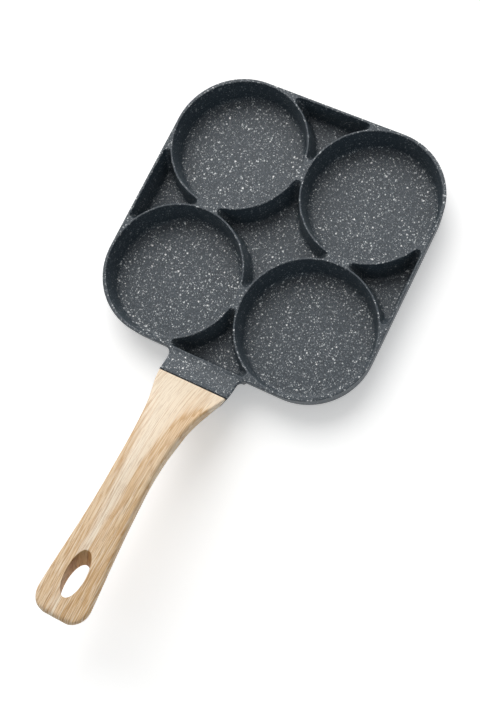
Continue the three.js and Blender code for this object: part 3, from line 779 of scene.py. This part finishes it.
def add(tree, kind, links=(), values=(), stops=(), **settings):
    """A shader node of a kind, with its settings, its inputs' values and links, and its ramp's stops."""
    made = tree.nodes.new("ShaderNode" + kind)
    for name, value in settings.items():
        setattr(made, name, value)
    for key, value in dict(values).items():
        made.inputs[key].default_value = value
    for key, socket in dict(links).items():
        tree.links.new(socket, made.inputs[key])
    for i, (position, colour) in enumerate(stops):
        elements = made.color_ramp.elements
        stop = elements[i] if i < len(elements) else elements.new(position)
        stop.position = position
        stop.color = linear(colour)
    return made


def new_material(name):
    """An empty material with its output and a principled shader."""
    material = bpy.data.materials.new(name)
    material.use_nodes = True
    tree = material.node_tree
    tree.nodes.clear()
    shader = add(tree, "BsdfPrincipled")
    add(tree, "OutputMaterial", links={"Surface": shader.outputs["BSDF"]})
    return material, tree, shader


def blend(tree, factor, one, other):
    """Two colours mixed by a factor; 6, 7 and 2 are the mix node's colour sockets."""
    return add(tree, "Mix", data_type="RGBA", links={0: factor, 6: one, 7: other}).outputs[2]


def per_mm(size):
    """A texture's scale that gives one cell each size millimetres on coordinates in metres."""
    return 1.0 / (size * MM)


print("a grey of #808080 is", round(linear("#808080")[0], 3), "in linear light")

# %% [markdown]
# ### Stone-effect non-stick coating
# The casting is sprayed with a dark grey fluoropolymer and then spattered with pale drops from above, which
# show fully on floors and flats and faintly on the steep walls. It dries to a satin film with a faint orange
# peel. Each layer of drops is a Voronoi pattern: a cell holds a drop if its random number is high enough,
# and the same number gives the drop its size. Slightly bent coordinates make the drops ragged, as real
# spatter is.

# %% Layers of spatter
# Each layer's cell in mm, share of cells with a drop, largest drop and soft edge in mm, darkest and palest
SPATTER = (
    (0.6, 0.70, 0.34, 0.08, "#60666A", "#C6CBCE"),
    (1.1, 0.70, 0.56, 0.12, "#8B9194", "#F0F3F3"),
    (2.2, 0.40, 0.78, 0.15, "#A6ABAD", "#FDFDFC"),
)


def spatter(tree, where, cell, share, largest, soft):
    """Drops in some of the cells: (drop radius - distance to the cell's point) / soft, from 0 to 1."""
    cells = add(tree, "TexVoronoi", links={"Vector": where}, values={"Scale": per_mm(cell)})
    parts = add(tree, "SeparateColor", links={"Color": cells.outputs["Color"]})
    size = add(tree, "MapRange", links={"Value": parts.outputs["Red"]},
               values={"From Min": 1 - share, "From Max": 1.0,
                       "To Min": -soft / cell, "To Max": largest / cell})
    inside = add(tree, "Math", operation="SUBTRACT",
                 links={0: size.outputs["Result"], 1: cells.outputs["Distance"]})
    mask = add(tree, "MapRange", links={"Value": inside.outputs["Value"]},
               values={"From Min": 0.0, "From Max": soft / cell})
    return mask.outputs["Result"], parts.outputs["Green"]


print("cells of the spatter in mm:", [layer[0] for layer in SPATTER])

# %% Spattered coating
coating, tree, shader = new_material("stone_effect_non_stick_coating")
space = add(tree, "TexCoord")
bend = add(tree, "TexNoise", links={"Vector": space.outputs["Object"]},
           values={"Scale": per_mm(0.7), "Detail": 2.0})
push = add(tree, "VectorMath", operation="MULTIPLY_ADD", links={0: bend.outputs["Color"]},
           values={1: (1.4 * MM,) * 3, 2: (-0.7 * MM,) * 3})
ragged = add(tree, "VectorMath", operation="ADD",
             links={0: space.outputs["Object"], 1: push.outputs["Vector"]}).outputs["Vector"]
grain = add(tree, "TexNoise", links={"Vector": space.outputs["Object"]},
            values={"Scale": per_mm(1.0), "Detail": 3.0, "Roughness": 0.7})
undercoat = add(tree, "ValToRGB", links={"Fac": grain.outputs["Fac"]},
                stops=[(0.32, "#323E47"), (0.68, "#404D56")])
# Painted sheen: level faces get a paler grey that stands in for the overhead softbox's sheen on floors, rims
# and lug
painted_sheen = add(tree, "ValToRGB", links={"Fac": grain.outputs["Fac"]},
           stops=[(0.30, "#2A3137"), (0.70, "#525A61")])
# How level a face is, from a drafted wall to a gentle slope, sets its painted sheen and how many drops it
# caught
STEEP, LEVEL = 0.14, 0.60
up = add(tree, "SeparateXYZ", links={"Vector": space.outputs["Normal"]})
flat = add(tree, "MapRange", links={"Value": up.outputs["Z"]},
           values={"From Min": STEEP, "From Max": LEVEL, "To Min": 0.18})
landed = add(tree, "MapRange", links={"Value": up.outputs["Z"]},
             values={"From Min": STEEP, "From Max": LEVEL, "To Min": 0.42})
colour = blend(tree, flat.outputs["Result"], undercoat.outputs["Color"], painted_sheen.outputs["Color"])
for cell, share, largest, soft, dark, pale in SPATTER:
    mask, chance = spatter(tree, ragged, cell, share, largest, soft)
    shown = add(tree, "Math", operation="MULTIPLY", links={0: mask, 1: landed.outputs["Result"]})
    drop = add(tree, "ValToRGB", links={"Fac": chance}, stops=[(0.1, dark), (0.95, pale)])
    colour = blend(tree, shown.outputs["Value"], colour, drop.outputs["Color"])
tree.links.new(colour, shader.inputs["Base Color"])
print(coating.name, "has", len(tree.nodes), "nodes")

# %% Film of the coating
# Satin fluoropolymer: an IOR near 1.4, a broad soft highlight, and a peel of about 1.5 mm that breaks it up
shader.inputs["IOR"].default_value = 1.42
satin = add(tree, "MapRange", links={"Value": grain.outputs["Fac"]},
            values={"From Min": 0.3, "From Max": 0.7, "To Min": 0.40, "To Max": 0.56})
tree.links.new(satin.outputs["Result"], shader.inputs["Roughness"])
peel = add(tree, "TexNoise", links={"Vector": space.outputs["Object"]},
           values={"Scale": per_mm(1.5), "Detail": 2.0})
film = add(tree, "Bump", links={"Height": peel.outputs["Fac"]},
           values={"Strength": 0.25, "Distance": 0.06 * MM})
# The base is skimmed flat on a lathe after casting, which leaves rings under the coating. They are drawn
# coarser than real ones, so that they show. At scale 1 a wave is 0.314 m long
LATHE_PITCH = 3.2
WAVE_LENGTH = 0.314
rings = add(tree, "TexWave", wave_type="RINGS", rings_direction="Z",
            links={"Vector": space.outputs["Object"]}, values={"Scale": WAVE_LENGTH * per_mm(LATHE_PITCH)})
under = add(tree, "MapRange", links={"Value": up.outputs["Z"]},
            values={"From Min": -0.999, "From Max": -0.99, "To Min": 0.5, "To Max": 0.0})
lathe = add(tree, "Bump", values={"Distance": 0.08 * MM},
            links={"Height": rings.outputs["Fac"], "Strength": under.outputs["Result"],
                   "Normal": film.outputs["Normal"]})
tree.links.new(lathe.outputs["Normal"], shader.inputs["Normal"])
pan.data.materials.append(coating)
print("with its film it has", len(tree.nodes), "nodes")

# %% [markdown]
# ### Oak
# The handle is pale oak, sanded and oiled. Oak is ring-porous: each year lays down a band of wide vessels
# and then a band of dense, browner wood, and a board cut lengthwise shows them as long streaks and short
# dark dashes. At the joint one pale band covers the whole width. Towards the tail the arched cut crosses
# more and more bands, so they narrow and crowd together: a colour ramp over the distance from the pale band,
# times the distance from the joint, draws that fan. The pattern lives in the board, not on its skin.

# %% Oak's sizes and tones
# The pale band's middle from the handle's and the fan's start from the joint, in mm
PALE_BAND = -1.8
FAN_START = 3.0
# Bands for each mm across at the tail, how far noise makes them stray, and the pale one's middle
BANDS_PER_MM = 0.68
STRAY = 1.6
PALE_MIDDLE = 0.55
# First and last band of the ramp, and its tones in between. The tones from 0.61 on, towards the right-hand
# side and the tail, are partly the oak's own lighter wood and partly painted light that offsets the shade on
# the handle's right slope
FIRST_BAND, LAST_BAND = -4.2, 5.8
BAND_TONES = (
    (0.00, "#E5C8A2"), (0.26, "#E8CCA7"), (0.35, "#DBBE9A"), (0.39, "#F7E5CC"), (0.44, "#F2E2CA"),
    (0.50, "#F5E4CB"), (0.57, "#F2DCBF"), (0.61, "#E7C69C"), (0.67, "#E6C499"), (0.74, "#EFD3AF"),
    (0.84, "#F1D7B2"), (0.91, "#E9CAA0"), (1.00, "#DFBC8F"),
)
# Late wood, then vessels cut lengthwise, then pores, and last the pale flecks of the rays: each with its
# width, length and depth in mm, where its noise sets in and is full, its strength and its colour
STREAKS = (
    (1.3, 150.0, 24.0, 0.51, 0.63, 0.32, "#CFA066"),
    (0.65, 80.0, 12.0, 0.52, 0.62, 0.42, "#B98A54"),
    (0.4, 9.0, 5.0, 0.54, 0.61, 0.44, "#A87C4E"),
    (0.6, 26.0, 8.0, 0.52, 0.62, 0.40, "#FDF0DC"),
)
print("bands across the tail:", round(BANDS_PER_MM * station(1.0, 2)))

# %% Board and grain
oak, tree, shader = new_material("oiled_oak")
space = add(tree, "TexCoord")
board = add(tree, "Mapping", links={"Vector": space.outputs["Object"]},
            values={"Rotation": (RISE, 0.0, 0.0)})
wander = add(tree, "TexNoise", links={"Vector": board.outputs["Vector"]},
             values={"Scale": per_mm(70.0), "Detail": 1.0})
sway = add(tree, "VectorMath", operation="MULTIPLY_ADD", links={0: wander.outputs["Color"]},
           values={1: (2.4 * MM, 0.0, 2.4 * MM), 2: (-1.2 * MM, 0.0, -1.2 * MM)})
grown = add(tree, "VectorMath", operation="ADD",
            links={0: board.outputs["Vector"], 1: sway.outputs["Vector"]}).outputs["Vector"]


def along_grain(across, length, depth, detail):
    """Noise on the board's coordinates: features this wide across, this long along and this deep, in mm."""
    stretch = add(tree, "Mapping", links={"Vector": grown},
                  values={"Scale": (per_mm(across), per_mm(length), per_mm(depth))})
    return add(tree, "TexNoise", links={"Vector": stretch.outputs["Vector"]},
               values={"Scale": 1.0, "Detail": detail, "Roughness": 0.6}).outputs["Fac"]


print("the board is turned by", HANDLE_RISE, "degrees, as the handle is")

# %% Yearly bands
down = add(tree, "SeparateXYZ", links={"Vector": space.outputs["Object"]})
crowd = add(tree, "MapRange", links={"Value": down.outputs["Y"]},
            values={"From Min": (JOINT_Y - FAN_START) * MM, "From Max": (JOINT_Y - HANDLE_LENGTH) * MM,
                    "To Max": per_mm(1.0 / BANDS_PER_MM)})
side = add(tree, "SeparateXYZ", links={"Vector": grown})
aside = add(tree, "Math", operation="SUBTRACT", links={0: side.outputs["X"]},
            values={1: PALE_BAND * MM})
band = add(tree, "Math", operation="MULTIPLY",
           links={0: aside.outputs["Value"], 1: crowd.outputs["Result"]})
stray = add(tree, "Math", operation="MULTIPLY_ADD", values={1: STRAY},
            links={0: along_grain(1.5, 150.0, 30.0, 2.0), 2: band.outputs["Value"]})
year = add(tree, "MapRange", links={"Value": stray.outputs["Value"]},
           values={"From Min": FIRST_BAND, "From Max": LAST_BAND})
years = add(tree, "ValToRGB", links={"Fac": year.outputs["Result"]}, stops=BAND_TONES)
# Each year ends in a thin brown line, faint in the pale band
ring = add(tree, "Math", operation="FRACT", links={0: stray.outputs["Value"]})
late = add(tree, "MapRange", links={"Value": ring.outputs["Value"]},
           values={"From Min": 0.66, "From Max": 0.96, "To Max": 0.62})
off_pale = add(tree, "Math", operation="SUBTRACT", links={0: stray.outputs["Value"]},
               values={1: PALE_MIDDLE})
off_pale = add(tree, "Math", operation="ABSOLUTE", links={0: off_pale.outputs["Value"]})
plain = add(tree, "MapRange", links={"Value": off_pale.outputs["Value"]},
            values={"From Min": 0.6, "From Max": 1.0, "To Min": 0.1})
line = add(tree, "Math", operation="MULTIPLY",
           links={0: late.outputs["Result"], 1: plain.outputs["Result"]})
colour = add(tree, "Mix", data_type="RGBA", values={7: linear("#C28F52")},
             links={0: line.outputs["Value"], 6: years.outputs["Color"]}).outputs[2]
print("so far the oak has", len(tree.nodes), "nodes")

# %% Streaks, routed walls and oil
# Streaks grow stronger towards the tail, where the arched cut crosses more years
older = add(tree, "MapRange", links={"Value": down.outputs["Y"]},
            values={"From Min": JOINT_Y * MM, "From Max": (JOINT_Y - HANDLE_LENGTH) * MM,
                    "To Min": 0.55, "To Max": 1.4})
for across, length, depth, low, high, most, tint in STREAKS:
    streak = add(tree, "MapRange", links={"Value": along_grain(across, length, depth, 2.0)},
                 values={"From Min": low, "From Max": high, "To Max": most})
    drawn = add(tree, "Math", operation="MULTIPLY",
                links={0: streak.outputs["Result"], 1: older.outputs["Result"]})
    colour = add(tree, "Mix", data_type="RGBA", links={0: drawn.outputs["Value"], 6: colour},
                 values={7: linear(tint)}).outputs[2]
# Routed walls are darkened: partly end grain, which drinks more oil and dries darker, and partly painted
# shade inside the hole
routed = add(tree, "Attribute", attribute_name="routed")
colour = add(tree, "Mix", data_type="RGBA", blend_type="MULTIPLY",
             links={0: routed.outputs["Fac"], 6: colour}, values={7: linear("#DEC8A2")}).outputs[2]
tree.links.new(colour, shader.inputs["Base Color"])
shader.inputs["Roughness"].default_value = 0.5
pores = add(tree, "Bump", links={"Height": along_grain(0.5, 12.0, 6.0, 2.0)},
            values={"Strength": 0.35, "Distance": 0.1 * MM})
tree.links.new(pores.outputs["Normal"], shader.inputs["Normal"])
handle.data.materials.append(oak)
print(oak.name, "has", len(tree.nodes), "nodes")

# %% [markdown]
# ### Silicone and plated steel
# The gasket is punched from black silicone sheet: matt, with a faint dusty bloom. The screw and washer are
# steel with a thin zinc plating, which is bright but not a mirror: fine crystals scatter the highlight.

# %% Silicone sheet
silicone, tree, shader = new_material("black_silicone_sheet")
space = add(tree, "TexCoord")
bloom = add(tree, "TexNoise", links={"Vector": space.outputs["Object"]},
            values={"Scale": per_mm(2.0), "Detail": 4.0})
dusty = add(tree, "ValToRGB", links={"Fac": bloom.outputs["Fac"]},
            stops=[(0.35, "#171513"), (0.7, "#2A2724")])
tree.links.new(dusty.outputs["Color"], shader.inputs["Base Color"])
shader.inputs["Roughness"].default_value = 0.75
gasket.material_slots[0].material = silicone
print(silicone.name, "on", gasket.name)

# %% Zinc-plated steel
zinc, tree, shader = new_material("zinc_plated_steel")
space = add(tree, "TexCoord")
crystal = add(tree, "TexVoronoi", links={"Vector": space.outputs["Object"]},
              values={"Scale": per_mm(0.5)})
plating = add(tree, "ValToRGB", links={"Fac": crystal.outputs["Distance"]},
              stops=[(0.0, "#C8CBCE"), (1.0, "#AEB2B6")])
tree.links.new(plating.outputs["Color"], shader.inputs["Base Color"])
shader.inputs["Metallic"].default_value = 1.0
scatter = add(tree, "MapRange", links={"Value": crystal.outputs["Distance"]},
              values={"To Min": 0.28, "To Max": 0.45})
tree.links.new(scatter.outputs["Result"], shader.inputs["Roughness"])
for part in (screw, washer):
    part.data.materials.append(zinc)
print(zinc.name, "on", screw.name, "and", washer.name)

# %% [markdown]
# ## Table, light and camera
# The pan lies on a white table in a light tent. The tent's roof is bright, and its side towards the camera
# is nearly dark. One broad softbox stands at the back, somewhat to the left, and a weak, cool window at the
# front right. So floors are bright, walls that face the camera are dark, and the table keeps a soft shadow
# in front of the pan. The table, and a low wall of the tent round it, are lifted to white only where they
# are looked at, straight, in a reflection or through glass, so that they throw no more light onto the pan.

# %% White table
TABLE_REACH = 1.5
TABLE_LIFT = 0.36


def looked_at(tree):
    """1 where a straight look, a reflection or a look through glass ends, and 0 for all other light."""
    ray = add(tree, "LightPath")
    either = add(tree, "Math", operation="MAXIMUM",
                 links={0: ray.outputs["Is Camera Ray"], 1: ray.outputs["Is Glossy Ray"]})
    return add(tree, "Math", operation="MAXIMUM",
               links={0: either.outputs["Value"], 1: ray.outputs["Is Transmission Ray"]}).outputs["Value"]


corners = TABLE_REACH * np.array([(-1, -1, 0), (1, -1, 0), (1, 1, 0), (-1, 1, 0)])
table_mesh = bpy.data.meshes.new("white_table")
table_mesh.from_pydata(corners.tolist(), [], [(0, 1, 2, 3)])
table = bpy.data.objects.new("white_table", table_mesh)
bpy.context.scene.collection.objects.link(table)
white, tree, shader = new_material("white_table_top")
space = add(tree, "TexCoord")
paper = add(tree, "TexNoise", links={"Vector": space.outputs["Object"]},
            values={"Scale": per_mm(300.0), "Detail": 2.0})
shade = add(tree, "ValToRGB", links={"Fac": paper.outputs["Fac"]},
            stops=[(0.3, "#F7F6F5"), (0.7, "#FAFAF9")])
tree.links.new(shade.outputs["Color"], shader.inputs["Base Color"])
shader.inputs["Roughness"].default_value = 0.9
shader.inputs["Specular IOR Level"].default_value = 0.0
lift = add(tree, "Math", operation="MULTIPLY", links={0: looked_at(tree)}, values={1: TABLE_LIFT})
shader.inputs["Emission Color"].default_value = linear("#FFFFFF")
tree.links.new(lift.outputs["Value"], shader.inputs["Emission Strength"])
table_mesh.materials.append(white)
print("table", 2 * TABLE_REACH, "m wide")

# %% Lamps
def soft_light(name, place, aim, size, power, tint="#FFFFFF"):
    """A round area light at a place, turned to face a point."""
    lamp = bpy.data.lights.new(name, "AREA")
    lamp.color = linear(tint)[:3]
    lamp.shape = "DISK"
    lamp.size = size
    lamp.energy = power
    holder = bpy.data.objects.new(name, lamp)
    holder.location = place
    holder.rotation_euler = (Vector(aim) - Vector(place)).to_track_quat("-Z", "Y").to_euler()
    bpy.context.scene.collection.objects.link(holder)


soft_light("key_softbox", place=(-1.38, 1.84, 2.25), aim=(0.0, -0.05, 0.0), size=3.8, power=98.0)
soft_light("front_window", place=(1.60, -1.80, 0.70), aim=(0.0, 0.0, 0.02), size=1.2, power=3.5,
           tint="#BBE5FF")
print("lamps:", [lamp.name for lamp in bpy.data.lights])

# %% Light tent
# The roof's brightest direction, strengths away from it and at it, and heights at which the wall fades
TENT_ROOF = (-0.25, 0.35, 0.90)
TENT_DARK, TENT_BRIGHT = 0.10, 0.50
WALL_FULL, WALL_GONE = 0.15, 0.30
world = bpy.data.worlds.new("light_tent")
bpy.context.scene.world = world
world.use_nodes = True
tent = world.node_tree
fill = tent.nodes["Background"]
way = add(tent, "TexCoord")
roof = add(tent, "VectorMath", operation="DOT_PRODUCT", links={0: way.outputs["Generated"]},
           values={1: TENT_ROOF})
glow = add(tent, "MapRange", interpolation_type="SMOOTHSTEP",
           links={"Value": roof.outputs["Value"]},
           values={"From Min": -0.1, "From Max": 1.0, "To Min": TENT_DARK, "To Max": TENT_BRIGHT})
height = add(tent, "SeparateXYZ", links={"Vector": way.outputs["Generated"]})
low = add(tent, "MapRange", links={"Value": height.outputs["Z"]},
          values={"From Min": WALL_FULL, "From Max": WALL_GONE, "To Min": 1.0, "To Max": 0.0})
wall = add(tent, "Math", operation="MULTIPLY",
           links={0: low.outputs["Result"], 1: looked_at(tent)})
shown = add(tent, "Mix", links={0: wall.outputs["Value"], 2: glow.outputs["Result"]},
            values={3: 1.0})
fill.inputs["Color"].default_value = linear("#FFFFFF")
tent.links.new(shown.outputs[0], fill.inputs["Strength"])
print("tent from", TENT_DARK, "to", TENT_BRIGHT)

# %% Camera
# A normal lens about 0.75 m from the pan, worked out from the cups' rims: 1169.5 px of focal length
# in a frame 722 px high.
FRAME_HEIGHT_PX = 722
FOCAL_PX = 1169.5
SENSOR = 36.0
CAMERA_AT = Vector((206.90, -196.68, 708.28)) * MM
CAMERA_TOWARDS = Vector((-0.26074, 0.15811, -0.95237)).normalized()
CAMERA_UP = Vector((-0.39634, 0.88190, 0.25528))
lens = bpy.data.cameras.new("normal_lens")
lens.sensor_fit = "VERTICAL"
lens.sensor_height = SENSOR
lens.lens = FOCAL_PX / FRAME_HEIGHT_PX * SENSOR
camera = bpy.data.objects.new("camera", lens)
bpy.context.scene.collection.objects.link(camera)
right = CAMERA_TOWARDS.cross(CAMERA_UP).normalized()
upward = right.cross(CAMERA_TOWARDS)
turn = Matrix((right, upward, -CAMERA_TOWARDS)).transposed().to_4x4()
camera.matrix_world = Matrix.Translation(CAMERA_AT) @ turn
bpy.context.scene.camera = camera
bpy.context.scene.view_settings.view_transform = "Standard"
print("lens", round(lens.lens, 2), "mm")
